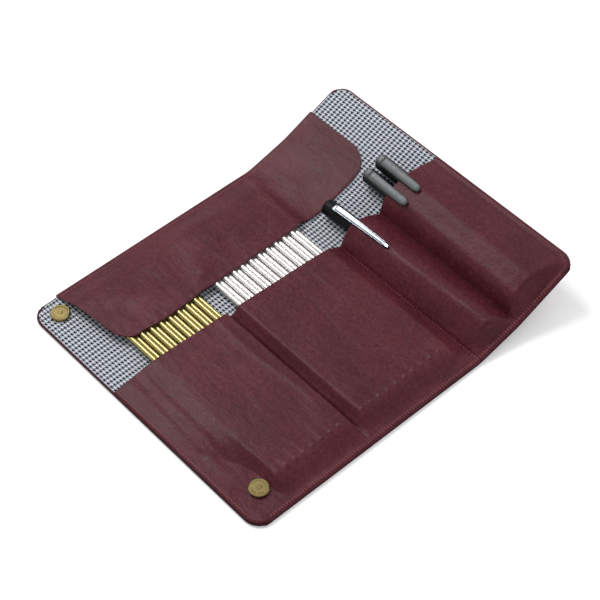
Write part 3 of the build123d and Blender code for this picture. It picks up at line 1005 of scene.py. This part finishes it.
def seamStitches(side, fold):
    form = bmesh.new()
    onLeather = lambda d, y: pocketTop(d, y) + 0.00003
    start, end, wide = bottomY + 0.004, mouthAt(fold) - 0.002, stitchForm["widePitch"]
    stitchRow(form, layerSpans[side], start, end, "y", fold, onLeather, wide, 0.1, stitchForm["seamSize"])
    # the seams at folds A and C are near-black, painted shade of their stitch holes; the seam at fold B keeps the
    # burgundy thread
    return asObject(form, f"seamStitches_{side}", "thread" if fold == middleWidth else "stitchHoleShade")


def flapStitches(share, ends):
    form = bmesh.new()
    onFlap = lambda d, y: flapTop(d, y) + 0.00002
    start = ends[0] + 0.001
    fixed = topY - stitchForm["flapTop"]
    pitch, slant, size = stitchForm["pitch"], stitchForm["slant"], stitchForm["size"]
    stitchRow(form, ends, start, ends[1], "d", fixed, onFlap, pitch, slant, size)
    return asObject(form, f"flapStitches_{share}", "thread")


for side in layerSpans:
    stitches = caseStitches(side)
    bendAt(stitches)
for side, fold in (("snapSide", 0.0), ("midSide", middleWidth), ("penSide", foldC)):
    seam = seamStitches(side, fold)
    bendAt(seam)
for share, ends in flapShares.items():
    stitches = flapStitches(share, ends)
    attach(stitches, f"flap_{share}_body")
print("stitching")

# ---- pen clips


def onPen(line):
    # from a pen's own place, x across it, y along it and z away from the case, to the case
    return placed(line["axis"].cross(line["up"]), line["axis"], line["up"], line["middle"])


def softenEdges(bar, edges, offset, segments):
    bmesh.ops.bevel(
        bar, geom=edges, offset=offset, segments=segments, profile=0.5,
        affect="EDGES", material=-1, clamp_overlap=True,
    )


def clipBar(name, finish, body, node, line, shape):
    # a bar along the cap with a blunt end, arched or straight, with a channel where its shape has one
    bar = bmesh.new()
    length = shape["start"] - shape["end"]
    bmesh.ops.create_cube(bar, size=1)
    bmesh.ops.scale(bar, vec=(shape["width"], length, shape["thickness"]), verts=bar.verts[:])
    longEdges = [edge for edge in bar.edges if abs((edge.verts[0].co - edge.verts[1].co).y) > length * 0.5]
    bmesh.ops.subdivide_edges(bar, edges=longEdges, cuts=18, use_grid_fill=True)
    top = [face for face in bar.faces if face.normal.z > 0.9]
    if shape.get("channel"):
        bmesh.ops.inset_region(bar, faces=top, thickness=shape["channel"], use_even_offset=True)
        sunk = list({vert for face in top for vert in face.verts})
        bmesh.ops.translate(bar, vec=(0, 0, -shape["channelDepth"]), verts=sunk)
    for vert in bar.verts:
        share = vert.co.y / length + 0.5  # 0 at the free end, 1 at the root
        width = lerp(shape["endWidth"], shape["width"], smooth(0.0, shape["widenBy"], share)) / shape["width"]
        endRound = max(1 - max(1 - share * length / (shape["endWidth"] * 0.5), 0) ** 4, 0.05) ** 0.25
        vert.co.x *= width * endRound
        vert.co.z += shape["arch"] * math.sin(math.pi * share) - shape["dip"] * (1 - smooth(0, 0.08, share))
        vert.co.y += (shape["start"] + shape["end"]) / 2
        vert.co.z += shape["height"]
    rimEdges = [edge for edge in bar.edges if edge.is_manifold and edge.calc_face_angle(0) > 0.6]
    softenEdges(bar, rimEdges, shape["bevel"], 2)
    root = bmesh.ops.create_cube(bar, size=1)["verts"]
    bmesh.ops.scale(bar, vec=(shape["rootWidth"], shape["rootLength"], shape["rootHeight"]), verts=root)
    rootPlace = (0, shape["start"] + shape["rootAt"], shape["height"] - shape["rootDown"])
    bmesh.ops.translate(bar, vec=rootPlace, verts=root)
    rootEdges = list({edge for vert in root for edge in vert.link_edges})
    softenEdges(bar, rootEdges, shape["rootBevel"], 3)
    bmesh.ops.transform(bar, matrix=onPen(line), verts=bar.verts[:])
    bmesh.ops.recalc_face_normals(bar, faces=bar.faces[:])
    piece = asObject(bar, name, finish)
    piece.data.set_sharp_from_angle(angle=math.radians(38))
    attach(piece, body)
    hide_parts(node)
    return piece


def clipEnds(node, line):
    # where a clip starts and ends along its pen, and how high it lies, from its solid
    low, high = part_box(node)
    middle = (low + high) / 2 - line["middle"]
    half = (high.y - low.y) / 2 / line["axis"].y
    along = middle.dot(line["axis"])
    return along + half, along - half


penTop, penTail = clipEnds("pen_clip", penLines["pen"])
clipBar(
    "chromeClip", "chrome", "pen_cap_body", "pen_clip", penLines["pen"],
    {
        "start": penTop - 0.0006, "end": penTail, "width": 0.0044, "endWidth": 0.0032, "widenBy": 0.9,
        "thickness": 0.0014, "height": 0.0082, "arch": 0.0005, "dip": 0.0002, "bevel": 0.00035,
        "channel": 0.0008, "channelDepth": 0.0003,
        "rootWidth": 0.0052, "rootLength": 0.0030, "rootHeight": 0.0034, "rootAt": -0.0012, "rootDown": 0.0010,
        "rootBevel": 0.0007,
    },
)
for index in (1, 2):
    key = f"marker_{index}"
    markerTop, markerTail = clipEnds(f"{key}_clip", penLines[key])
    clipBar(
        f"greyClip_{index}", "clipGrey", f"{key}_cap_body", f"{key}_clip", penLines[key],
        {
            "start": markerTop - 0.0040, "end": markerTail, "width": 0.0066, "endWidth": 0.0060, "widenBy": 1.0,
            "thickness": 0.0018, "height": 0.0081, "arch": 0.0, "dip": 0.0, "bevel": 0.0006,
            "rootWidth": 0.0068, "rootLength": 0.0052, "rootHeight": 0.0042, "rootAt": 0.0022, "rootDown": 0.0012,
            "rootBevel": 0.0011,
        },
    )
print("pen clips")

# ---- needle tips, discs and pens keep their shapes and take these finishes

nodeFinishes = {
    "gold_tip": "gold",
    "silver_tip": "silver",
    "snap_disc": "brass",
    "catch_plate": "brass",
    "pen_cap": "capBlack",
    "pen_barrel": "capBlack",
    "pen_nib": "steel",
}
for name, node in frame["nodes"].items():
    finish = next((value for key, value in nodeFinishes.items() if name.startswith(key)), None)
    if name.startswith("marker"):
        finish = "steel" if name.endswith("nib") else "penBlack"
    if finish:
        for materialSlot in node.material_slots:
            materialSlot.material = finishes[finish]
print("metal and plastic finishes")
